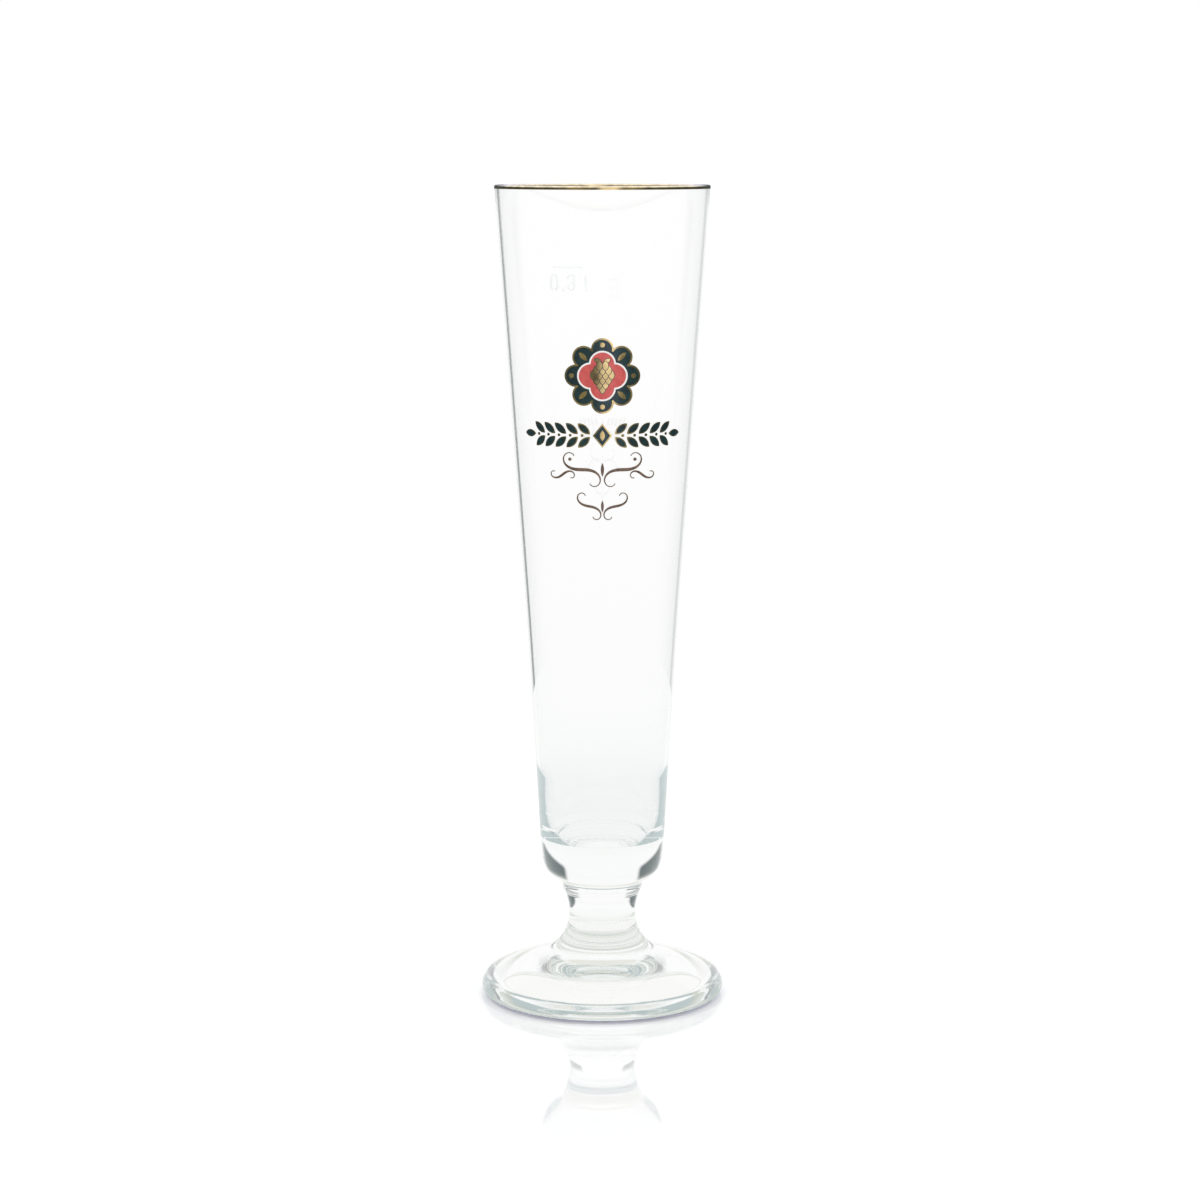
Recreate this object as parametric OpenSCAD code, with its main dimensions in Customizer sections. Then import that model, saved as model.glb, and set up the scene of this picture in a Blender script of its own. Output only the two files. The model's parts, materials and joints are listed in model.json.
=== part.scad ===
// A tall footed beer glass: a blown bowl with a thick solid base, fused to a pressed stem and
// foot, with a fired gold rim and an enamel print on the front of the bowl.
// The origin is the middle of the circle that rests on the table. +Z is up, the print faces -Y.

/* [Bowl] */
// Height of the rim above the table
glass_h = 245; // [232:1:262]
// Outside diameter at the rim
rim_d = 64; // [58:0.5:70]
// Height of the bend in the side
knee_h = 104; // [95:1:112]
// Outside diameter at the bend in the side
knee_d = 43.9; // [42:0.1:46]
// Half the height over which the bend is softened
knee_soft_h = 16; // [8:1:20]
// Height of the foot of the straight side
waist_h = 45; // [42:0.5:47]
// Outside diameter at the foot of the straight side
waist_d = 37.3; // [36:0.1:39]
// Wall thickness at the rim
rim_wall = 1; // [0.8:0.05:1.4]
// Wall thickness where the cavity turns in
turn_wall = 1.2; // [1:0.05:1.8]
// Height at which the cavity turns in
turn_h = 70; // [62:1:78]
// Height of the edge of the cavity floor
floor_h = 47.9; // [47.2:0.1:50]
// Diameter of the cavity floor
floor_d = 28.4; // [24:0.2:30]
// Dip of the cavity floor at its middle
floor_dip = 1.2; // [0.2:0.1:2]
// Height at which the base rounding ends in the lip
lip_h = 35.6; // [35:0.1:37]
// Diameter at which the base rounding ends in the lip
lip_d = 28; // [26:0.2:30]

/* [Stem] */
// Height of the seam between stem and bowl
seam_h = 33; // [31.8:0.1:34]
// Diameter of the seam between stem and bowl
seam_d = 24.2; // [23:0.1:25.6]
// Height of the foot of the fused bead
bead_h = 30.6; // [29.5:0.1:31.4]
// Diameter under the fused bead
bead_d = 22.2; // [21:0.1:22.8]
// Height of the neck
neck_h = 24.6; // [22:0.1:26.5]
// Diameter of the neck
neck_d = 20.1; // [17:0.1:20.8]
// Height of the seam between stem and foot
root_h = 13.8; // [12:0.1:15.5]
// Diameter of the seam between stem and foot
root_d = 30.4; // [27:0.2:33]

/* [Foot] */
// Largest diameter of the foot
foot_d = 73.6; // [68:0.2:80]
// Height of the widest part of the foot's edge
edge_h = 2.4; // [1.8:0.1:3.2]
// Diameter of the brow, where the top of the foot turns down into the edge
brow_d = 71; // [66:0.2:72]
// Height of the brow
brow_h = 5.3; // [4.6:0.1:6.8]
// Outside diameter of the ring that rests on the table
rest_d = 70.4; // [66:0.2:71]
// Inside diameter of the ring that rests on the table
rest_inner_d = 62; // [50:0.5:64]
// Depth of the hollow under the foot
hollow_h = 6; // [2:0.1:7]

/* [Gold rim] */
// Thickness of the fired gold
gold_t = 0.05; // [0.03:0.01:0.12]
// Depth of the gold band on the outside
gold_h = 0.55; // [0.2:0.05:1.2]
// Depth of the gold band on the inside
gold_inner_h = 0.4; // [0.2:0.05:1.2]

/* [Print] */
// Thickness of the fired enamel
print_t = 0.08; // [0.05:0.01:0.15]
// Distance from the rim down to the fill line
fill_drop = 23.2; // [18:0.2:26]
// Angle of the fill mark to the left of the badge
fill_turn = 18.7; // [0:0.5:40]
// Length of the fill line
fill_line_l = 9.6; // [6:0.2:14]
// Stroke width of the fill line and its numerals
fill_stroke = 0.5; // [0.3:0.05:0.7]
// Height of the numerals
numeral_h = 4.8; // [3.6:0.1:6]
// Gap between the fill line and the numerals
numeral_gap = 2; // [1:0.1:4]
// Distance from the rim down to the middle of the badge
badge_drop = 54.5; // [50:0.5:58]
// Diameter of the badge
badge_d = 22; // [19:0.5:24]
// Width of the gold edge of the badge
badge_edge = 0.5; // [0.3:0.05:0.8]
// Diameter of the red medallion
medal_d = 13.7; // [12:0.1:14.5]
// Width of the white line round the medallion
medal_edge = 0.5; // [0.3:0.05:0.7]
// Length of a scale of the hop cone
scale_l = 2.7; // [2.2:0.1:3]
// Width of the brown outline of the hop cone
outline_w = 0.2; // [0.12:0.02:0.3]
// Gap between the badge and the garland
garland_gap = 2.9; // [1:0.1:4]
// Height of the garland
garland_h = 7.1; // [6:0.1:8]
// Length of a leaf of the garland
leaf_l = 4.8; // [4:0.1:5.6]
// Width of a leaf of the garland
leaf_w = 2.2; // [1.6:0.1:2.4]
// Width of the gold edge of a leaf
leaf_edge = 0.28; // [0.15:0.01:0.4]
// Pairs of leaves on each side of the garland
leaf_pairs = 5; // [3:1:6]
// Gap between the garland and the upper scrolls, and between the rows of scrolls
scroll_gap = 1.5; // [1:0.1:3]
// Height of the upper scrolls
upper_scroll_h = 10; // [7:0.5:12]
// Height of the lower scrolls
lower_scroll_h = 8.6; // [6:0.5:10]
// Width of the thick strokes of the scrolls
stroke_w = 1.1; // [0.7:0.05:1.3]
// Width of the hair strokes of the scrolls
hair_w = 0.28; // [0.2:0.02:0.4]

/* [Hidden] */

round_fn = 96;
bend_steps = 8;
glass_colour = [0.85, 0.9, 0.89, 0.45];
gold_colour = [0.62, 0.5, 0.28];
dark_colour = [0.06, 0.16, 0.16];
white_colour = [0.97, 0.96, 0.94];
red_colour = [0.8, 0.33, 0.31];
brown_colour = [0.3, 0.24, 0.18];
scroll_colour = [0.43, 0.33, 0.27];
fill_colour = [0.9, 0.91, 0.91];

rim_r = rim_d / 2;
knee_r = knee_d / 2;
waist_r = waist_d / 2;
lip_r = lip_d / 2;
seam_r = seam_d / 2;
bead_r = bead_d / 2;
neck_r = neck_d / 2;
root_r = root_d / 2;
foot_r = foot_d / 2;
brow_r = brow_d / 2;
rest_r = rest_d / 2;
rest_inner_r = rest_inner_d / 2;
floor_r = floor_d / 2;
lip_radius = rim_wall / 2;
side_top_h = glass_h - lip_radius;

// Each bend is a curve from one point to the next. Its two pulls are shares of the way
// between them, in radius and in height.
base_round_shares = [[0.04, 0.51], [0.31, 0.83]];
lip_shares = [[0.74, 0.27], [0.97, 0.54]];
cavity_turn_shares = [[0.45, 0.5], [0.7, 0.9]];
floor_shares = [[0.28, 0.03], [0.5, 1]];
bead_shares = [[-0.1, 0.42], [0.7, 0.58]];
taper_shares = [[0.38, 0.3], [1, 0.67]];
flare_shares = [[0, 0.3], [0.22, 0.67]];
foot_top_shares = [[0.17, 0.36], [0.82, 0.65]];
edge_top_shares = [[0.2, 0.25], [1, 0.6]];
edge_foot_shares = [[0, 0.54], [0.38, 0.92]];
hollow_shares = [[0.25, 0.7], [0.55, 1]];

function share(a, b, s) = [a[0] + (b[0] - a[0]) * s[0], a[1] + (b[1] - a[1]) * s[1]];
function on_bend(a, b, c, d, t) = a * pow(1 - t, 3) + b * 3 * t * pow(1 - t, 2)
    + c * 3 * t * t * (1 - t) + d * pow(t, 3);
// The points of a bend from a to d, without a itself
function bend(a, d, shares, steps = bend_steps) = [for (i = [1:steps])
    on_bend(a, share(a, d, shares[0]), share(a, d, shares[1]), d, i / steps)];

// Outside radius of the bowl's side at height z: two straight tapers joined by a soft bend
function lower_r(z) = waist_r + (knee_r - waist_r) * (z - waist_h) / (knee_h - waist_h);
function upper_r(z) = knee_r + (rim_r - knee_r) * (z - knee_h) / (side_top_h - knee_h);
function soft_r(t) = pow(1 - t, 2) * lower_r(knee_h - knee_soft_h) + 2 * t * (1 - t) * knee_r
    + t * t * upper_r(knee_h + knee_soft_h);
function side_r(z) = z < knee_h - knee_soft_h ? lower_r(z)
    : z > knee_h + knee_soft_h ? upper_r(z)
    : soft_r((z - knee_h + knee_soft_h) / (2 * knee_soft_h));
function wall(z) = rim_wall + (turn_wall - rim_wall) * (side_top_h - z) / (side_top_h - turn_h);
function cavity_r(z) = side_r(z) - wall(z);
soft_heights = [for (i = [0:bend_steps]) knee_h + knee_soft_h * (2 * i / bend_steps - 1)];

seam_edge = [seam_r, seam_h];
lip_edge = [lip_r, lip_h];
waist_edge = [waist_r, waist_h];
turn_edge = [cavity_r(turn_h), turn_h];
floor_edge = [floor_r, floor_h];
floor_middle = [0, floor_h - floor_dip];
bead_edge = [bead_r, bead_h];
neck_edge = [neck_r, neck_h];
root_edge = [root_r, root_h];
brow_edge = [brow_r, brow_h];
foot_edge = [foot_r, edge_h];
rest_edge = [rest_r, 0];
rest_inner_edge = [rest_inner_r, 0];
hollow_top = [0, hollow_h];

function backwards(list) = [for (i = [len(list) - 1:-1:0]) list[i]];

// The rounded end of the wall at the rim, or of a coat of thickness t on it
function rim_round(t = 0) = [for (i = [0:bend_steps])
    [rim_r - lip_radius + (lip_radius + t) * cos(180 * i / bend_steps),
        side_top_h + (lip_radius + t) * sin(180 * i / bend_steps)]];

module revolve() rotate_extrude($fn = round_fn) children();

module bowl() {
    outside = concat([waist_edge], bend(waist_edge, lip_edge, base_round_shares),
        bend(lip_edge, seam_edge, lip_shares));
    side = [for (z = soft_heights) [side_r(z), z]];
    inner_side = backwards([for (z = soft_heights) [cavity_r(z), z]]);
    cavity = concat([turn_edge], bend(turn_edge, floor_edge, cavity_turn_shares),
        bend(floor_edge, floor_middle, floor_shares));
    color(glass_colour) revolve() polygon(concat([[0, seam_h]], backwards(outside), side,
        rim_round(), inner_side, cavity));
}

module stem() {
    color(glass_colour) revolve() polygon(concat([[0, seam_h], seam_edge],
        bend(seam_edge, bead_edge, bead_shares), bend(bead_edge, neck_edge, taper_shares),
        bend(neck_edge, root_edge, flare_shares), [[0, root_h]]));
}

module foot() {
    color(glass_colour) revolve() polygon(concat([[0, root_h], root_edge],
        bend(root_edge, brow_edge, foot_top_shares), bend(brow_edge, foot_edge, edge_top_shares),
        bend(foot_edge, rest_edge, edge_foot_shares), [rest_inner_edge],
        bend(rest_inner_edge, hollow_top, hollow_shares)));
}

module gold_rim() {
    outer_foot = side_top_h - gold_h;
    inner_foot = side_top_h - gold_inner_h;
    color(gold_colour) revolve() polygon(concat(
        [[side_r(outer_foot) + gold_t, outer_foot]], rim_round(gold_t),
        [[cavity_r(inner_foot) - gold_t, inner_foot], [cavity_r(inner_foot), inner_foot]],
        backwards(rim_round()), [[side_r(outer_foot), outer_foot]]));
}

// A flat drawing laid on the straight side of the bowl as a coat of enamel. Its middle is at
// height mid_h, turned about the bowl's axis, and it reaches no further than reach above
// and below that height.
module print(mid_h, reach, turn = 0) {
    low = mid_h - reach;
    high = mid_h + reach;
    intersection() {
        revolve() polygon([[side_r(low), low], [side_r(low) + print_t, low],
            [side_r(high) + print_t, high], [side_r(high), high]]);
        rotate([0, 0, turn]) translate([0, 0, mid_h]) rotate([90, 0, 0])
            linear_extrude(rim_r + print_t) children();
    }
}

// The pointed oval of length l and width w, standing upright
module oval(l, w) {
    r = (l * l + w * w) / (4 * w);
    intersection() {
        translate([r - w / 2, 0]) circle(r, $fn = round_fn);
        translate([w / 2 - r, 0]) circle(r, $fn = round_fn);
    }
}

// A round shape with lobes that reach out to radius r
module lobed(r, lobe_r, lobes) {
    circle(r - lobe_r, $fn = round_fn);
    for (i = [0:lobes - 1])
        rotate(360 * i / lobes) translate([r - lobe_r, 0]) circle(lobe_r, $fn = round_fn);
}

fill_h = glass_h - fill_drop;
numeral_mid_h = fill_h - numeral_gap - numeral_h / 2;
numeral_w = numeral_h / 2;
numeral_pitch = numeral_w * 1.35;

module fill_line() {
    color(fill_colour) print(fill_h, fill_stroke, -fill_turn)
        square([fill_line_l, fill_stroke], center = true);
}

// A tall ring of straight sides and round ends
module upright_ring(w, h, stroke) {
    difference() {
        upright_oblong(w, h);
        upright_oblong(w - 2 * stroke, h - 2 * stroke);
    }
}

module upright_oblong(w, h) {
    square([w, h - w], center = true);
    for (end = [-1, 1]) translate([0, end * (h - w) / 2]) circle(w / 2, $fn = round_fn);
}

module numeral_zero() upright_ring(numeral_w, numeral_h, fill_stroke);

// Two bows, one on the other, open to the left
module numeral_three() {
    bow_h = (numeral_h + fill_stroke) / 2;
    for (end = [-1, 1]) translate([0, end * (bow_h - fill_stroke) / 2]) difference() {
        upright_ring(numeral_w, bow_h, fill_stroke);
        translate([-numeral_w / 2, -end * bow_h / 4])
            square([numeral_w, bow_h / 2 - fill_stroke / 2], center = true);
    }
}

module numeral_comma() polygon([[-fill_stroke / 2, fill_stroke], [fill_stroke / 2, fill_stroke],
    [fill_stroke / 2, 0], [-fill_stroke / 2, -fill_stroke]]);

module fill_numerals() {
    color(fill_colour) print(numeral_mid_h, numeral_h, -fill_turn) {
        translate([-1.5 * numeral_pitch, 0]) numeral_zero();
        translate([-0.6 * numeral_pitch, -numeral_h / 2]) numeral_comma();
        translate([0.15 * numeral_pitch, 0]) numeral_three();
        translate([1.5 * numeral_pitch, 0]) square([fill_stroke, numeral_h], center = true);
    }
}

badge_h = glass_h - badge_drop;
badge_r = badge_d / 2;
badge_lobes = 8;
badge_lobe_r = badge_r * 0.3;
medal_r = medal_d / 2;
medal_lobes = 4;
medal_lobe_r = medal_r * 0.5;
bead_dot_r = badge_r * 0.065;
bead_dot_at = badge_r * 0.82;
grain_l = badge_r * 0.3;
grain_w = grain_l * 0.42;
grain_at = badge_r * 0.72;

module badge_outline() lobed(badge_r - badge_edge, badge_lobe_r - badge_edge, badge_lobes);
module medal_outline(grow = 0) lobed(medal_r + grow, medal_lobe_r + grow, medal_lobes);

// Round beads over the medallion's lobes and grains between them
module badge_studs() {
    for (i = [0:medal_lobes - 1]) rotate(360 * i / medal_lobes) {
        translate([bead_dot_at, 0]) circle(bead_dot_r, $fn = round_fn);
        rotate(180 / medal_lobes) translate([grain_at, 0]) rotate(90) oval(grain_l, grain_w);
    }
}

module badge_edge_gold() {
    color(gold_colour) print(badge_h, badge_r) difference() {
        lobed(badge_r, badge_lobe_r, badge_lobes);
        badge_outline();
    }
}

module badge_field() {
    color(dark_colour) print(badge_h, badge_r) difference() {
        badge_outline();
        medal_outline(medal_edge);
        badge_studs();
    }
}

module badge_beads() color(gold_colour) print(badge_h, badge_r) badge_studs();

module medallion_line() {
    color(white_colour) print(badge_h, badge_r) difference() {
        medal_outline(medal_edge);
        medal_outline();
    }
}

module medallion() {
    color(red_colour) print(badge_h, badge_r) difference() {
        medal_outline();
        hop_shape(outline_w);
    }
}

// The hop cone: rows of pointed scales set between each other, and two leaves at its top
scale_w = scale_l * 0.6;
scale_pitch = scale_w + outline_w * 0.8;
row_pitch = scale_l / 2;
row_counts = [2, 3, 4, 3, 2, 1];
hop_top = row_pitch * (len(row_counts) - 1) / 2 - scale_l * 0.15;
hop_leaf_l = scale_l * 0.9;
hop_leaf_w = scale_w * 0.7;
hop_leaf_lean = 58;

module hop_leaves(grow = 0) {
    for (side = [-1, 1]) translate([side * scale_pitch * 0.7, hop_top + row_pitch])
        rotate(-side * hop_leaf_lean) oval(hop_leaf_l + 2 * grow, hop_leaf_w + 2 * grow);
}

module hop_row(row, grow = 0) {
    for (i = [0:row_counts[row] - 1])
        translate([(i - (row_counts[row] - 1) / 2) * scale_pitch, hop_top - row * row_pitch])
            oval(scale_l + 2 * grow, scale_w + 2 * grow);
}

module hop_shape(grow = 0) {
    hop_leaves(grow);
    for (row = [0:len(row_counts) - 1]) hop_row(row, grow);
}

// Each row hangs over the one below, with the outline between them
module hop_drawing() {
    difference() {
        hop_leaves();
        hop_row(0, outline_w);
    }
    hop_row(0);
    for (row = [1:len(row_counts) - 1]) difference() {
        hop_row(row);
        hop_row(row - 1, outline_w);
    }
}

module hop_scales() color(gold_colour) print(badge_h, badge_r) hop_drawing();

module hop_outline() {
    color(brown_colour) print(badge_h, badge_r) difference() {
        hop_shape(outline_w);
        hop_drawing();
    }
}

// The garland: a framed lozenge in the middle, and on each side pairs of leaves that lean
// outwards from a line of beads, with one level leaf at each end
garland_mid_h = badge_h - badge_r - garland_gap - garland_h / 2;
garland_r = side_r(garland_mid_h);
leaf_gap = leaf_w * 0.18;
leaf_lean = asin((garland_h / 2 - leaf_gap) / leaf_l);
leaf_pitch = leaf_w / sin(leaf_lean) * 1.08;
lozenge_w = garland_h * 0.8;
garland_bead_r = leaf_w * 0.2;
first_leaf_at = lozenge_w / 2 + leaf_w * 0.35;
garland_end_at = first_leaf_at + leaf_pitch * leaf_pairs;

function leaf_turn(along) = along / garland_r * 180 / PI;

// Lays its drawing at each leaf of the garland
module at_leaves() {
    along = leaf_l / 2 * cos(leaf_lean);
    up = leaf_gap + leaf_l / 2 * sin(leaf_lean);
    for (side = [-1, 1]) {
        for (i = [0:leaf_pairs - 1]) for (row = [-1, 1])
            print(garland_mid_h + row * up, leaf_l / 2,
                side * leaf_turn(first_leaf_at + leaf_pitch * i + along))
                rotate(-side * (90 - row * leaf_lean)) children();
        print(garland_mid_h, leaf_l / 2, side * leaf_turn(garland_end_at + leaf_l / 2))
            rotate(90) children();
    }
}

module lozenge(shrink = 0) {
    half_w = lozenge_w / 2 - shrink;
    half_h = garland_h / 2 - shrink;
    polygon([[half_w, 0], [0, half_h], [-half_w, 0], [0, -half_h]]);
}

module lozenge_heart() oval(garland_h * 0.42, garland_h * 0.2);

module garland_leaves() {
    color(dark_colour) {
        at_leaves() oval(leaf_l - 4 * leaf_edge, leaf_w - 2 * leaf_edge);
        print(garland_mid_h, garland_h / 2) difference() {
            lozenge(2 * leaf_edge);
            lozenge_heart();
        }
    }
}

module garland_edges() {
    color(gold_colour) {
        at_leaves() difference() {
            oval(leaf_l, leaf_w);
            oval(leaf_l - 4 * leaf_edge, leaf_w - 2 * leaf_edge);
        }
        print(garland_mid_h, garland_h / 2) {
            difference() {
                lozenge();
                lozenge(2 * leaf_edge);
            }
            lozenge_heart();
        }
    }
}

module garland_beads() {
    color(gold_colour) for (side = [-1, 1]) for (i = [1:leaf_pairs])
        print(garland_mid_h, leaf_w, side * leaf_turn(first_leaf_at + leaf_pitch * (i - 0.35)))
            circle(garland_bead_r, $fn = round_fn);
}

// A pen stroke that bends one way and then the other, ever more tightly towards both ends,
// and swells in the middle
stroke_steps = 48;
function heading(u, turn, lean) = lean + turn * u * u;
function walk(step, turn, lean, i = 0, at = [0, 0]) = i > stroke_steps ? [] :
    concat([at], walk(step, turn, lean, i + 1,
        at + step * [cos(heading((2 * i + 1) / stroke_steps - 1, turn, lean)),
            sin(heading((2 * i + 1) / stroke_steps - 1, turn, lean))]));

module pen_stroke(l, turn, lean, thick) {
    way = walk(l / stroke_steps, turn, lean);
    middle = way[stroke_steps / 2];
    sides = [for (side = [1, -1]) [for (i = [0:stroke_steps])
        let (a = heading(2 * i / stroke_steps - 1, turn, lean),
            half = side * (hair_w + (thick - hair_w) * pow(sin(180 * i / stroke_steps), 3)) / 2)
        way[i] - middle + half * [-sin(a), cos(a)]]];
    polygon(concat(sides[0], backwards(sides[1])));
}

// Each stroke of a row of scrolls: its length, its places along and up, and its thickness, as
// shares of the row's height and, for the last, of the thick stroke's width
upper_stroke_shares = [[2.3, 0.6, 0, 0.9], [1.2, 1.16, -0.16, 0.65]];
lower_stroke_shares = [[1.9, 0.45, 0, 0.7]];
upper_leans = [0, -40];
lower_leans = [10];
scroll_turn = 250;
// Place and size of the ball at the end of the upper scrolls, and size of the drop between them
ball_shares = [0.95, 0.3, 0.05];
drop_shares = [0.42, 0.1];

module scroll_row(h, stroke_shares, leans) {
    for (side = [0, 1]) mirror([side, 0, 0]) for (i = [0:len(leans) - 1])
        translate([h * stroke_shares[i][1], h * stroke_shares[i][2]])
            pen_stroke(h * stroke_shares[i][0], scroll_turn, leans[i],
                stroke_w * stroke_shares[i][3]);
    oval(h * drop_shares[0], h * drop_shares[1]);
}

module scroll_balls(h) for (side = [-1, 1])
    translate([side * h * ball_shares[0], h * ball_shares[1]])
        circle(h * ball_shares[2], $fn = round_fn);

upper_scroll_mid_h = garland_mid_h - garland_h / 2 - scroll_gap - upper_scroll_h / 2;
lower_scroll_mid_h = upper_scroll_mid_h - upper_scroll_h / 2 - scroll_gap - lower_scroll_h / 2;

module upper_scrolls() {
    color(scroll_colour) print(upper_scroll_mid_h, upper_scroll_h) {
        scroll_row(upper_scroll_h, upper_stroke_shares, upper_leans);
        scroll_balls(upper_scroll_h);
    }
}

module lower_scrolls() {
    color(scroll_colour) print(lower_scroll_mid_h, lower_scroll_h)
        scroll_row(lower_scroll_h, lower_stroke_shares, lower_leans);
}

bowl();
stem();
foot();
gold_rim();
fill_line();
fill_numerals();
badge_edge_gold();
badge_field();
badge_beads();
medallion_line();
medallion();
hop_scales();
hop_outline();
garland_leaves();
garland_edges();
garland_beads();
upper_scrolls();
lower_scrolls();
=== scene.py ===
import json
import math

import bpy
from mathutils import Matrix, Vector

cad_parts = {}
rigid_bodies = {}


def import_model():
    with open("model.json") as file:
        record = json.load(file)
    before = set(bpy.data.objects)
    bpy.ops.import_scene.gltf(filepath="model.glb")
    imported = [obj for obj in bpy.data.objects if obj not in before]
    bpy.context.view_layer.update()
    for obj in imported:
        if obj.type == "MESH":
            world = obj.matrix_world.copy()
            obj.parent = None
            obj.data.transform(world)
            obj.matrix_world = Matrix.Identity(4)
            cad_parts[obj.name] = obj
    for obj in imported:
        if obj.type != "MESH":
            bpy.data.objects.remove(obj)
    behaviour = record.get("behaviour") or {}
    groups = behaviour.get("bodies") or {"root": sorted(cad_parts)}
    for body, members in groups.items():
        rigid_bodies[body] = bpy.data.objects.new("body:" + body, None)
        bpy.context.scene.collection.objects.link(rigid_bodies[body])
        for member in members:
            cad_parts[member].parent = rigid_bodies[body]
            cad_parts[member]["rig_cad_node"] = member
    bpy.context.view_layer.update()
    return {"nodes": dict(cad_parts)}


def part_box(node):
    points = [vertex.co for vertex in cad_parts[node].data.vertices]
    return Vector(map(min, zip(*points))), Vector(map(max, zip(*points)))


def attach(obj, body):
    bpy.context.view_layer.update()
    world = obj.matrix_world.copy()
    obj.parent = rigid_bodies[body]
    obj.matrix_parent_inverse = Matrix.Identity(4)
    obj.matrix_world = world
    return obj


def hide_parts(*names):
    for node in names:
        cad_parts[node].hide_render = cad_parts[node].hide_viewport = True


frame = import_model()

MM = 0.001


def node_box(node):
    """Lowest and highest corner of a CAD node, in millimetres."""
    low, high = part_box(node)
    return low / MM, high / MM


# Sizes taken from the frame
bowl_low, bowl_high = node_box("bowl")
stem_low, stem_high = node_box("stem")
foot_high = node_box("foot")[1]
rim_r = bowl_high.x
glass_h = bowl_high.z
seam_h = bowl_low.z
root_r = stem_high.x
root_h = stem_low.z
foot_r = foot_high.x

# Bowl
knee_h = 104
knee_r = 21.95
knee_soft_h = 16
waist_h = 45
waist_r = 18.65
rim_wall = 1
turn_wall = 1.2
turn_h = 70
floor_h = 47.9
floor_r = 14.2
floor_dip = 1.2
lip_h = 35.6
lip_r = 14
seam_r = 12.1

# Stem
bead_h = 30.6
bead_r = 11.1
neck_h = 24.6
neck_r = 10.05

# Foot
edge_h = 2.4
brow_h = 5.3
brow_r = 35.5
rest_r = 35.2
rest_inner_r = 31
hollow_h = 6

# Gold rim
gold_t = 0.05
gold_h = 0.55
gold_inner_h = 0.4
gold_sink = 0.01

# Print
print_t = 0.08
film_sink = 0.02

# Patterns in the finishes
flow_size = 1.6
screen_pitch = 0.35
screen_relief = 0.01
streak_size = 2.5
grit_size = 0.25
grit_relief = 0.003

# Table. Its shades go by the way from the middle of where the glass rests, over this reach.
table_r = 420
table_y = 50
table_drop = 0.05
contact_y = -4
reach_r = 200

# Camera, with its tilt in degrees and its lens and sensor in millimetres
camera_at = (-0.7, -907.9, 254.9)
camera_tilt = 81.6
camera_lens = 91.2
camera_sensor = 36

# Each bend is a curve from one point to the next. Its two pulls are shares of the way between
# them, in radius and in height.
FLOOR_SHARES = ((0.5, 0), (0.72, 0.97))
CAVITY_TURN_SHARES = ((0.3, 0.1), (0.55, 0.5))
BASE_ROUND_SHARES = ((0.04, 0.51), (0.31, 0.83))
LIP_SHARES = ((0.74, 0.27), (0.97, 0.54))
BEAD_SHARES = ((-0.1, 0.42), (0.7, 0.58))
TAPER_SHARES = ((0.38, 0.3), (1, 0.67))
FLARE_SHARES = ((0, 0.3), (0.22, 0.67))
FOOT_TOP_SHARES = ((0.17, 0.36), (0.82, 0.65))
EDGE_TOP_SHARES = ((0.2, 0.25), (1, 0.6))
EDGE_FOOT_SHARES = ((0, 0.54), (0.38, 0.92))
HOLLOW_SHARES = ((0.25, 0.7), (0.55, 1))
LINE_SHARES = ((1 / 3, 1 / 3), (2 / 3, 2 / 3))
ARC_SHARE = 0.5523
OUT_SHARES = ((0, ARC_SHARE), (1 - ARC_SHARE, 1))
IN_SHARES = ((ARC_SHARE, 0), (1, 1 - ARC_SHARE))

ROUND_STEPS = 256
BEND_STEPS = 16
TABLE_STEPS = 128
SMOOTH_ANGLE = 30
merge_gap = 0.001

# Light that is caught in a wall of glass leaves it after so many turns, and shows this tone. Light
# that has passed fewer faces than SOLID_FACES was only in solid glass, or in one wall.
LIGHT_BOUNCES = 32
MOST_TURNS = 8.5
CAUGHT_TONE = "c2cdcf"
SOLID_FACES = 2.5

lip_radius = rim_wall / 2
side_top_h = glass_h - lip_radius


def between(a, b, s):
    """The value a share s of the way from a to b."""
    return a + (b - a) * s


def outside_r(z):
    """Outside radius of the bowl's side at height z, with a sharp knee."""
    if z < knee_h:
        return between(waist_r, knee_r, (z - waist_h) / (knee_h - waist_h))
    return between(knee_r, rim_r, (z - knee_h) / (side_top_h - knee_h))


def cavity_r(z):
    """Radius of the cavity at height z, with a sharp knee."""
    wall = between(rim_wall, turn_wall, (side_top_h - z) / (side_top_h - turn_h))
    return outside_r(z) - wall


def bend(a, d, shares=LINE_SHARES):
    """The two pulls and the end of a bend from a to d."""
    pulls = [(between(a[0], d[0], s[0]), between(a[1], d[1], s[1])) for s in shares]
    return pulls[0], pulls[1], d


def soft_knee(radius_at, way):
    """The softened knee as a bend, and the point where it starts. It rises where way is 1."""
    start, end = knee_h - way * knee_soft_h, knee_h + way * knee_soft_h
    a, corner, d = [(radius_at(z), z) for z in (start, knee_h, end)]
    pulls = [(between(p[0], corner[0], 2 / 3), between(p[1], corner[1], 2 / 3)) for p in (a, d)]
    return a, (pulls[0], pulls[1], d)


def run(start, *steps):
    """An outline through points and bends. A step is a point, or a point and its shares."""
    outline = [start]
    at = start
    for step in steps:
        if len(step) == 3:
            made = step
        elif isinstance(step[1], tuple):
            made = bend(at, step[0], step[1])
        else:
            made = bend(at, step)
        outline.append(made)
        at = made[2]
    return outline


def deselect():
    """Leaves edit mode, and selects nothing."""
    if bpy.context.mode != "OBJECT":
        bpy.ops.object.mode_set(mode="OBJECT")
    bpy.ops.object.select_all(action="DESELECT")


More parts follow.
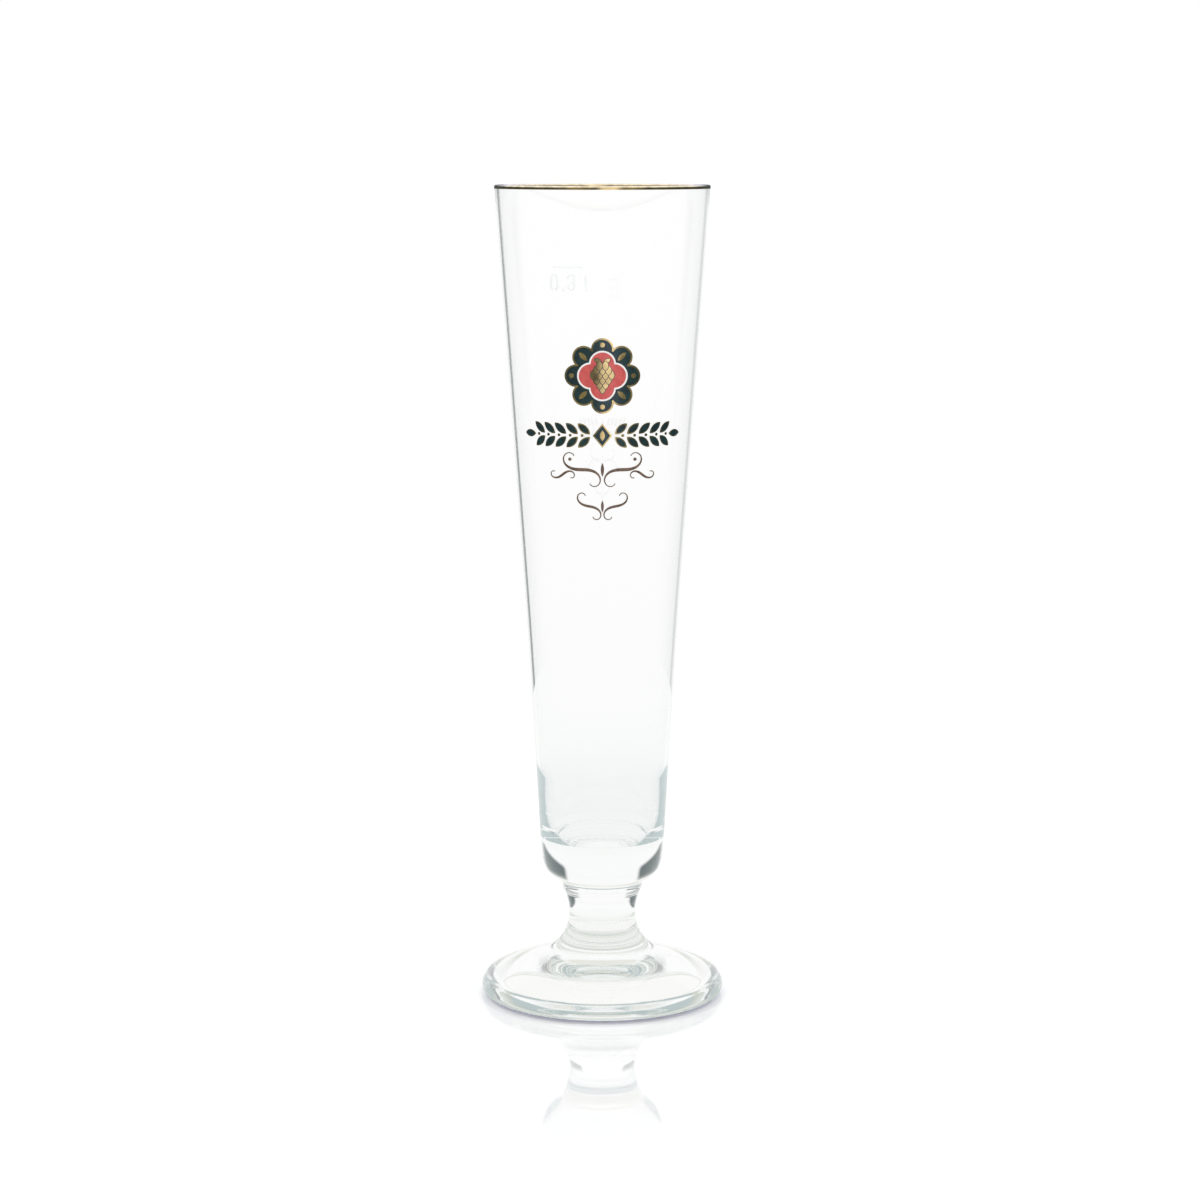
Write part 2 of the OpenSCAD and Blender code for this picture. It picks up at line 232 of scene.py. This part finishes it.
def lathe(name, outline):
    """Turns an outline of radii and heights about Z into a closed solid."""
    deselect()
    bpy.ops.curve.primitive_bezier_curve_add()
    curve = bpy.context.object
    spline = curve.data.splines[0]
    spline.bezier_points.add(len(outline) - 2)
    for point in spline.bezier_points:
        point.handle_left_type = point.handle_right_type = "FREE"
    place = [Vector((r, 0, z)) * MM for r, z in [outline[0]] + [b[2] for b in outline[1:]]]
    for i, point in enumerate(spline.bezier_points):
        point.co = point.handle_left = point.handle_right = place[i]
    for i, (out, into, _) in enumerate(outline[1:]):
        spline.bezier_points[i].handle_right = Vector((out[0], 0, out[1])) * MM
        spline.bezier_points[i + 1].handle_left = Vector((into[0], 0, into[1])) * MM
    curve.data.dimensions = "3D"
    curve.data.resolution_u = BEND_STEPS
    bpy.ops.object.convert(target="MESH")
    piece = bpy.context.object
    piece.name = piece.data.name = name
    bpy.ops.object.modifier_add(type="SCREW")
    turn = piece.modifiers[0]
    turn.steps = turn.render_steps = ROUND_STEPS
    bpy.ops.object.modifier_apply(modifier=turn.name)
    bpy.ops.object.mode_set(mode="EDIT")
    bpy.ops.mesh.select_all(action="SELECT")
    bpy.ops.mesh.remove_doubles(threshold=merge_gap * MM)
    bpy.ops.mesh.normals_make_consistent(inside=False)
    bpy.ops.object.mode_set(mode="OBJECT")
    bpy.ops.object.shade_smooth_by_angle(angle=math.radians(SMOOTH_ANGLE))
    return piece


def mark_fused(piece, *heights):
    """Marks the faces where a piece is fused to the next, so that light passes straight on."""
    mark = piece.data.attributes.new("fused", "FLOAT", "FACE")
    flat = [any(abs(v.co.z / MM - h) < merge_gap for h in heights) for v in piece.data.vertices]
    for share, face in zip(mark.data, piece.data.polygons):
        share.value = float(all(flat[v] for v in face.vertices))


def bowl():
    """Blown: a thin wall with a rounded lip, on a thick solid base."""
    inner_foot, inner_knee = soft_knee(cavity_r, 1)
    outer_top, outer_knee = soft_knee(outside_r, -1)
    centre = rim_r - lip_radius
    piece = lathe("glass_bowl", run(
        (0, floor_h - floor_dip),
        ((floor_r, floor_h), FLOOR_SHARES),
        ((cavity_r(turn_h), turn_h), CAVITY_TURN_SHARES),
        inner_foot,
        inner_knee,
        (centre - lip_radius, side_top_h),
        ((centre, glass_h), OUT_SHARES),
        ((centre + lip_radius, side_top_h), IN_SHARES),
        outer_top,
        outer_knee,
        (waist_r, waist_h),
        ((lip_r, lip_h), BASE_ROUND_SHARES),
        ((seam_r, seam_h), LIP_SHARES),
        (0, seam_h)))
    mark_fused(piece, seam_h)
    return piece


def stem():
    """Pressed: a bead under the bowl, a neck and a flare."""
    piece = lathe("glass_stem", run(
        (0, seam_h),
        (seam_r, seam_h),
        ((bead_r, bead_h), BEAD_SHARES),
        ((neck_r, neck_h), TAPER_SHARES),
        ((root_r, root_h), FLARE_SHARES),
        (0, root_h)))
    mark_fused(piece, seam_h, root_h)
    return piece


def foot():
    """Pressed: a low dome that rests on a ring, hollow underneath."""
    piece = lathe("glass_foot", run(
        (0, root_h),
        (root_r, root_h),
        ((brow_r, brow_h), FOOT_TOP_SHARES),
        ((foot_r, edge_h), EDGE_TOP_SHARES),
        ((rest_r, 0), EDGE_FOOT_SHARES),
        (rest_inner_r, 0),
        ((0, hollow_h), HOLLOW_SHARES)))
    mark_fused(piece, root_h)
    return piece


def gold_rim():
    """A film of gold over the lip, let a little into the glass."""
    centre = rim_r - lip_radius
    outer_h, inner_h = side_top_h - gold_h, side_top_h - gold_inner_h
    out, sink = lip_radius + gold_t, lip_radius - gold_sink
    return lathe("gilt_rim", run(
        (outside_r(outer_h) - gold_sink, outer_h),
        (outside_r(outer_h) + gold_t, outer_h),
        (centre + out, side_top_h),
        ((centre, side_top_h + out), OUT_SHARES),
        ((centre - out, side_top_h), IN_SHARES),
        (cavity_r(inner_h) - gold_t, inner_h),
        (cavity_r(inner_h) + gold_sink, inner_h),
        (centre - sink, side_top_h),
        ((centre, side_top_h + sink), OUT_SHARES),
        ((centre + sink, side_top_h), IN_SHARES),
        (outside_r(outer_h) - gold_sink, outer_h)))


def linear(code):
    """An sRGB hex colour as linear values, with alpha."""
    channels = [int(code[i:i + 2], 16) / 255 for i in (0, 2, 4)]
    return [c / 12.92 if c < 0.04045 else ((c + 0.055) / 1.055) ** 2.4 for c in channels] + [1]


def add(tree, kind, settings=None, **links):
    """Adds a node. Settings go to its own values, to its sockets or to the stops of its ramp.
    Links join outputs, or a node's first output, to its sockets."""
    node = tree.nodes.new(kind)
    for key, value in (settings or {}).items():
        if key == "stops":
            node.color_ramp.interpolation = "EASE"
            marks = node.color_ramp.elements
            while len(marks) < len(value):
                marks.new(1)
            for mark, (place, level) in zip(marks, value):
                mark.position = place
                mark.color = level if isinstance(level, list) else (level, level, level, 1)
        elif isinstance(key, int) or key in node.inputs:
            node.inputs[key].default_value = value
        else:
            setattr(node, key, value)
    for key, source in links.items():
        slot = int(key[1:]) if key[1:].isdigit() else key.replace("_", " ")
        if isinstance(source, bpy.types.Node):
            source = source.outputs[0]
        tree.links.new(source, node.inputs[slot])
    return node


def material(name):
    """A new material with an empty node tree."""
    made = bpy.data.materials.new(name)
    made.use_nodes = True
    made.node_tree.nodes.clear()
    return made, made.node_tree


def clear_glass():
    """Soda-lime glass, blown and pressed: clear, a little green where it is thick. Light passes
    straight through the faces where one piece is fused to the next, and light that is caught in
    the wall leaves it after a few turns."""
    made, tree = material("soda_lime_glass")
    surface = add(tree, "ShaderNodeBsdfPrincipled", {
        "Base Color": (1, 1, 1, 1), "Roughness": 0, "IOR": 1.52, "Transmission Weight": 1})
    passing = add(tree, "ShaderNodeBsdfTransparent")
    fused = add(tree, "ShaderNodeAttribute", {"attribute_name": "fused"}).outputs["Fac"]
    path = add(tree, "ShaderNodeLightPath").outputs
    caught = add(tree, "ShaderNodeMath", {"operation": "GREATER_THAN", 1: MOST_TURNS},
                 i0=path["Ray Depth"])
    free = add(tree, "ShaderNodeMath", {"operation": "MAXIMUM"}, i0=fused, i1=caught)
    both = add(tree, "ShaderNodeMixShader", i0=free, i1=surface, i2=passing)
    depth = add(tree, "ShaderNodeVolumeAbsorption", {"Color": linear("c6d6cf"), "Density": 3})
    add(tree, "ShaderNodeOutputMaterial", Surface=both, Volume=depth)
    return made


def enamel(name, thin, thick, gloss=0.22):
    """Vitreous enamel, screen printed and fired on: opaque and glossy, a little thicker and
    darker in places. The mesh of the screen is 0.1 mm and is drawn at 0.35 mm, so that it shows
    close up as a faint grid."""
    made, tree = material(name)
    place = add(tree, "ShaderNodeTexCoord").outputs["Object"]
    flow = add(tree, "ShaderNodeTexNoise", {"Scale": 1 / (flow_size * MM), "Detail": 4},
               Vector=place)
    tone = add(tree, "ShaderNodeValToRGB", {"stops": [(0.3, linear(thin)), (0.7, linear(thick))]},
               Fac=flow)
    dull = add(tree, "ShaderNodeMapRange", {"To Min": gloss, "To Max": gloss + 0.2}, Value=flow)
    front = add(tree, "ShaderNodeMapping", {"Scale": (1, 0, 1)}, Vector=place)
    screen = add(tree, "ShaderNodeTexVoronoi", {"Scale": 1 / (screen_pitch * MM), "Randomness": 0},
                 Vector=front).outputs["Distance"]
    relief = add(tree, "ShaderNodeBump", {"Strength": 0.15, "Distance": screen_relief * MM},
                 Height=screen)
    surface = add(tree, "ShaderNodeBsdfPrincipled", {"IOR": 1.5}, Base_Color=tone,
                  Roughness=dull.outputs[0], Normal=relief)
    add(tree, "ShaderNodeOutputMaterial", Surface=surface)
    return made


def bright_gold():
    """Liquid bright gold, brushed on and fired: a mirror-like metal film that shows a mostly dark
    room, a little streaked and worn."""
    made, tree = material("fired_bright_gold")
    place = add(tree, "ShaderNodeTexCoord").outputs["Object"]
    streaks = add(tree, "ShaderNodeTexNoise", {"Scale": 1 / (streak_size * MM), "Detail": 6},
                  Vector=place)
    tone = add(tree, "ShaderNodeValToRGB", {
        "stops": [(0.3, linear("ae9663")), (0.7, linear("cfb57a"))]}, Fac=streaks)
    dull = add(tree, "ShaderNodeMapRange", {"To Min": 0.12, "To Max": 0.28}, Value=streaks)
    grit = add(tree, "ShaderNodeTexNoise", {"Scale": 1 / (grit_size * MM)}, Vector=place)
    relief = add(tree, "ShaderNodeBump", {"Strength": 0.1, "Distance": grit_relief * MM},
                 Height=grit)
    surface = add(tree, "ShaderNodeBsdfPrincipled", {"Metallic": 1}, Base_Color=tone,
                  Roughness=dull.outputs[0], Normal=relief)
    add(tree, "ShaderNodeOutputMaterial", Surface=surface)
    return made


def dress(piece, finish):
    """Gives a piece one finish all over."""
    piece.data.materials.clear()
    piece.data.materials.append(finish)


def stand_for(piece, node, finish):
    """A new piece takes the place of a CAD node."""
    dress(piece, finish)
    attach(piece, "root")
    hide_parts(node)


def fired_film(node, finish):
    """A coat of enamel or gold as the CAD draws it, let a little into the glass and shaded as
    round as the wall under it. Its back, seen through the glass, faces inwards."""
    deselect()
    drawing = frame["nodes"][node]
    drawing.select_set(True)
    bpy.context.view_layer.objects.active = drawing
    bpy.ops.object.duplicate()
    film = bpy.context.object
    del film["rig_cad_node"]
    film.name = film.data.name = f"{node}_film"
    bpy.ops.object.mode_set(mode="EDIT")
    bpy.ops.mesh.select_all(action="SELECT")
    bpy.ops.mesh.remove_doubles(threshold=merge_gap * MM)
    bpy.ops.object.mode_set(mode="OBJECT")
    for v in film.data.vertices:
        r = math.hypot(v.co.x, v.co.y) / MM
        if r < outside_r(v.co.z / MM) + print_t / 2:
            v.co.x *= 1 - film_sink / r
            v.co.y *= 1 - film_sink / r
    bpy.ops.object.shade_smooth()
    bpy.ops.object.modifier_add(type="DATA_TRANSFER")
    wall = film.modifiers[0]
    wall.object = bpy.data.objects["glass_bowl"]
    wall.use_loop_data = True
    wall.data_types_loops = {"CUSTOM_NORMAL"}
    wall.loop_mapping = "POLYINTERP_NEAREST"
    bpy.ops.object.modifier_apply(modifier=wall.name)
    round_normals = [corner.vector.copy() for corner in film.data.corner_normals]
    for face in film.data.polygons:
        for i in face.loop_indices:
            if round_normals[i].dot(face.normal) < 0:
                round_normals[i].negate()
    film.data.normals_split_custom_set(round_normals)
    stand_for(film, node, finish)


def table_top():
    """White acrylic: mirrors what stands close to it, and is as bright as the backdrop. A painted
    contact shadow rings the foot. Seen through the glass it is plain and pale, and solid glass
    shows the painted shade of the foot's ring."""
    deselect()
    bpy.ops.mesh.primitive_circle_add(vertices=TABLE_STEPS, radius=table_r * MM, fill_type="NGON",
                                      location=(0, table_y * MM, -table_drop * MM))
    floor = bpy.context.object
    floor.name = "table_top"
    made, tree = material("white_acrylic")
    path = add(tree, "ShaderNodeLightPath").outputs
    place = add(tree, "ShaderNodeNewGeometry").outputs["Position"]
    way = add(tree, "ShaderNodeVectorMath", {"operation": "DISTANCE", 1: (0, contact_y * MM, 0)},
              i0=place).outputs["Value"]
    reach = add(tree, "ShaderNodeMath", {"operation": "MULTIPLY", 1: 1 / (reach_r * MM)}, i0=way)

    # The table itself, with a painted contact shadow: a dark line round the foot
    contact_shadow = add(tree, "ShaderNodeValToRGB", {
        "stops": [(0.16, linear("5b5864")), (0.17, linear("8b8892")), (0.18, linear("dcdbdf")),
                  (0.192, linear("ffffff"))]}, Fac=reach)
    glow = add(tree, "ShaderNodeEmission", {"Strength": 0.74}, Color=contact_shadow)
    matt = add(tree, "ShaderNodeBsdfDiffuse", {"Color": (0.3, 0.3, 0.3, 1)})
    face = add(tree, "ShaderNodeAddShader", i0=glow, i1=matt)

    # It mirrors the foot and the stem, and less and less further away
    mirror = add(tree, "ShaderNodeBsdfAnisotropic", {"Color": (1, 1, 1, 1), "Roughness": 0})
    near = add(tree, "ShaderNodeValToRGB", {
        "stops": [(0.165, 0.1), (0.187, 0.32), (0.25, 0.35), (0.33, 0.5), (0.4, 0.4), (0.6, 0.4),
                  (0.85, 0.2), (1, 0)]}, Fac=reach)
    shown = add(tree, "ShaderNodeMixShader", i0=near, i1=face, i2=mirror)

    # Seen through solid glass, with the painted shade of the ring
    under = add(tree, "ShaderNodeValToRGB", {
        "stops": [(0, linear("fcfcfb")), (0.15, linear("fbfbf9")), (0.165, linear("bfc4b8")),
                  (0.18, linear("d0d4ca")), (0.205, linear("f0f0ec")), (0.3, linear("f8f8f5")),
                  (0.45, linear("fcfdfc"))]}, Fac=reach)

    # Seen through the walls, a little darker towards the glass
    far = add(tree, "ShaderNodeMath", {"operation": "MULTIPLY", 1: 0.25}, i0=reach)
    behind = add(tree, "ShaderNodeValToRGB", {
        "stops": [(0.25, linear("f2f5f4")), (0.4, linear("f7f9f8")), (0.62, linear("fbfcfb"))]},
        Fac=far)

    solid = add(tree, "ShaderNodeMath", {"operation": "LESS_THAN", 1: SOLID_FACES},
                i0=path["Transmission Depth"])
    tone = add(tree, "ShaderNodeMix", {"data_type": "RGBA"}, i0=solid, i6=behind,
               i7=under).outputs[2]
    caught = add(tree, "ShaderNodeMath", {"operation": "GREATER_THAN", 1: MOST_TURNS},
                 i0=path["Ray Depth"])
    tone = add(tree, "ShaderNodeMix", {"data_type": "RGBA", 7: linear(CAUGHT_TONE)}, i0=caught,
               i6=tone).outputs[2]
    through = add(tree, "ShaderNodeEmission", Color=tone)
    both = add(tree, "ShaderNodeMixShader", i0=path["Is Camera Ray"], i1=through, i2=shown)
    add(tree, "ShaderNodeOutputMaterial", Surface=both)
    dress(floor, made)


def studio():
    """White all round. Solid glass shows a wide dark gap on each side of the backdrop, and narrow
    dark gaps where light has turned once inside it. The gold shows a dark room with a few bright
    lights."""
    world = bpy.data.worlds.new("studio")
    bpy.context.scene.world = world
    world.use_nodes = True
    tree = world.node_tree
    tree.nodes.clear()
    path = add(tree, "ShaderNodeLightPath").outputs

    # The way a ray goes: its turn from straight back, from -1 to 1, how far that is to either
    # side, its bearing from 0 to 1 all round, and its height, where 0.5 is level
    where = add(tree, "ShaderNodeTexCoord").outputs["Generated"]
    way = add(tree, "ShaderNodeSeparateXYZ", i0=where).outputs
    turn = add(tree, "ShaderNodeMath", {"operation": "ARCTAN2"}, i0=way[0], i1=way[1])
    turn = add(tree, "ShaderNodeMath", {"operation": "DIVIDE", 1: math.pi}, i0=turn)
    aside = add(tree, "ShaderNodeMath", {"operation": "ABSOLUTE"}, i0=turn)
    bearing = add(tree, "ShaderNodeMath", {"operation": "MULTIPLY_ADD", 1: 0.5, 2: 0.5}, i0=turn)
    height = add(tree, "ShaderNodeMath", {"operation": "ADD", 1: 0.5}, i0=way[2])

    # What a ray has met: only solid glass, how many mirror turns, or too many turns of any kind
    solid = add(tree, "ShaderNodeMath", {"operation": "LESS_THAN", 1: SOLID_FACES},
                i0=path["Transmission Depth"])
    few = add(tree, "ShaderNodeMath", {"operation": "LESS_THAN", 1: 1.5}, i0=path["Glossy Depth"])
    once = add(tree, "ShaderNodeMath", {"operation": "COMPARE", 1: 1, 2: 0.1},
               i0=path["Glossy Depth"])
    caught = add(tree, "ShaderNodeMath", {"operation": "GREATER_THAN", 1: MOST_TURNS},
                 i0=path["Ray Depth"])

    # The wide gaps: over a line that falls away to the sides, low down, and paler after two turns
    wide = add(tree, "ShaderNodeValToRGB", {
        "stops": [(0.15, 0), (0.18, 1), (0.34, 1), (0.45, 0)]}, Fac=aside)
    lift = add(tree, "ShaderNodeMath", {"operation": "MULTIPLY", 1: 0.318}, i0=way[2])
    slope = add(tree, "ShaderNodeMath", {"operation": "MULTIPLY_ADD", 1: 0.45}, i0=aside, i2=lift)
    over = add(tree, "ShaderNodeValToRGB", {"stops": [(0.11, 0), (0.14, 1)]}, Fac=slope)
    low = add(tree, "ShaderNodeValToRGB", {"stops": [(0.25, 1), (0.47, 0)]}, Fac=way[2])
    share = add(tree, "ShaderNodeMath", {"operation": "MULTIPLY_ADD", 1: 0.35, 2: 0.65}, i0=few)
    for part in (over, low, share):
        wide = add(tree, "ShaderNodeMath", {"operation": "MULTIPLY"}, i0=wide, i1=part)

    # The narrow gaps, one on each side, below the level of the eye
    narrow = add(tree, "ShaderNodeValToRGB", {"stops": [
        (0.405, 0), (0.415, 1), (0.435, 1), (0.445, 0), (0.555, 0), (0.565, 0.35), (0.585, 0.35),
        (0.595, 0)]}, Fac=bearing)
    below = add(tree, "ShaderNodeValToRGB", {"stops": [(0.452, 1), (0.462, 0)]}, Fac=height)
    for part in (below, once):
        narrow = add(tree, "ShaderNodeMath", {"operation": "MULTIPLY"}, i0=narrow, i1=part)

    gaps = add(tree, "ShaderNodeMath", {"operation": "MAXIMUM"}, i0=wide, i1=narrow)
    for part in (solid, path["Is Transmission Ray"]):
        gaps = add(tree, "ShaderNodeMath", {"operation": "MULTIPLY"}, i0=gaps, i1=part)

    # Glass shows the backdrop a little darker low down, and solid glass the ceiling a little warmer
    backdrop = add(tree, "ShaderNodeValToRGB", {
        "stops": [(0.33, linear("fbfcfb")), (0.46, linear("ffffff"))]}, Fac=height)
    ceiling = add(tree, "ShaderNodeValToRGB", {"stops": [(0.5, 0), (0.6, 1)]}, Fac=way[2])
    ceiling = add(tree, "ShaderNodeMath", {"operation": "MULTIPLY"}, i0=ceiling, i1=solid)
    backdrop = add(tree, "ShaderNodeMix", {"data_type": "RGBA", 7: linear("ecebe4")}, i0=ceiling,
                   i6=backdrop).outputs[2]
    backdrop = add(tree, "ShaderNodeMix", {"data_type": "RGBA", 6: (1, 1, 1, 1)},
                   i0=path["Is Transmission Ray"], i7=backdrop).outputs[2]
    room = add(tree, "ShaderNodeMix", {"data_type": "RGBA", 7: linear("4a5b5c")}, i0=gaps,
               i6=backdrop).outputs[2]
    room = add(tree, "ShaderNodeMix", {"data_type": "RGBA", 7: linear(CAUGHT_TONE)}, i0=caught,
               i6=room).outputs[2]

    # The gold shows a dark room, with a strip of light in front and light from above
    gloom, dim, lit = linear("475058"), linear("8d8f88"), [1, 1.03, 1.25, 1]
    lights = add(tree, "ShaderNodeValToRGB", {"stops": [
        (0, lit), (0.012, gloom), (0.08, dim), (0.13, gloom), (0.87, gloom), (0.92, dim),
        (0.945, gloom), (0.955, lit)]}, Fac=bearing)
    above = add(tree, "ShaderNodeValToRGB", {"stops": [(0.2, 0), (0.5, 1)]}, Fac=way[2])
    lights = add(tree, "ShaderNodeMix", {"data_type": "RGBA", 7: (1.1, 1.3, 2.2, 1)}, i0=above,
                 i6=lights).outputs[2]
    rough = add(tree, "ShaderNodeMath", {"operation": "SUBTRACT", "use_clamp": True},
                i0=path["Is Glossy Ray"], i1=path["Is Singular Ray"])
    room = add(tree, "ShaderNodeMix", {"data_type": "RGBA"}, i0=rough, i6=room,
               i7=lights).outputs[2]

    # What glass mirrors at its sides is duller than the backdrop, up to the level of the eye. The
    # table mirrors only what is higher.
    sides = add(tree, "ShaderNodeValToRGB", {
        "stops": [(0.08, 1), (0.14, 0.6), (0.3, 0.6), (0.5, 1)]}, Fac=aside)
    mirrored = add(tree, "ShaderNodeMath", {"operation": "SUBTRACT", "use_clamp": True},
                   i0=path["Is Singular Ray"], i1=path["Is Transmission Ray"])
    down = add(tree, "ShaderNodeValToRGB", {"stops": [(0.5, 1), (0.56, 0)]}, Fac=height)
    mirrored = add(tree, "ShaderNodeMath", {"operation": "MULTIPLY"}, i0=mirrored, i1=down)
    level = add(tree, "ShaderNodeMix", {"data_type": "FLOAT", 2: 1}, i0=mirrored, i3=sides)
    level = add(tree, "ShaderNodeMix", {"data_type": "FLOAT", 3: 1.6}, i0=rough, i2=level)
    sky = add(tree, "ShaderNodeBackground", Color=room, Strength=level)
    add(tree, "ShaderNodeOutputWorld", Surface=sky)


def camera():
    """Stands in front, a little above the rim, and looks a little down."""
    deselect()
    bpy.ops.object.camera_add(location=[c * MM for c in camera_at],
                              rotation=(math.radians(camera_tilt), 0, 0))
    lens = bpy.context.object
    lens.data.lens = camera_lens
    lens.data.sensor_width = camera_sensor
    lens.data.clip_start, lens.data.clip_end = 0.01, 100
    bpy.context.scene.camera = lens


glass = clear_glass()
gold = bright_gold()
dark = enamel("dark_green_enamel", "163636", "0b2323")
red = enamel("soft_red_enamel", "d05b55", "c34c4a")
white = enamel("white_enamel", "f6f4f1", "eceae6")
brown = enamel("brown_enamel", "57443a", "3d2f25")
pen_gold = enamel("brown_gold_enamel", "7c6453", "574234")
pale = enamel("pale_enamel", "fcfdfd", "f7f9f9", gloss=0.45)

stand_for(bowl(), "bowl", glass)
stand_for(stem(), "stem", glass)
stand_for(foot(), "foot", glass)
stand_for(gold_rim(), "gold_rim", gold)

FILMS = [
    ("bright_gold", gold, ["badge_edge_gold", "badge_beads", "hop_scales", "garland_edges",
                           "garland_beads"]),
    ("dark_enamel", dark, ["badge_field", "garland_leaves"]),
    ("red_enamel", red, ["medallion"]),
    ("white_enamel", white, ["medallion_line"]),
    ("brown_enamel", brown, ["hop_outline"]),
    ("scroll_enamel", pen_gold, ["upper_scrolls", "lower_scrolls"]),
    ("pale_enamel", pale, ["fill_line", "fill_numerals"]),
]
for slot, finish, nodes in FILMS:
    for node in nodes:
        fired_film(node, finish)

table_top()
studio()
camera()

bpy.context.scene.view_settings.view_transform = "Standard"
cycles = bpy.context.scene.cycles
cycles.max_bounces = cycles.glossy_bounces = cycles.transmission_bounces = LIGHT_BOUNCES
cycles.transparent_max_bounces = LIGHT_BOUNCES
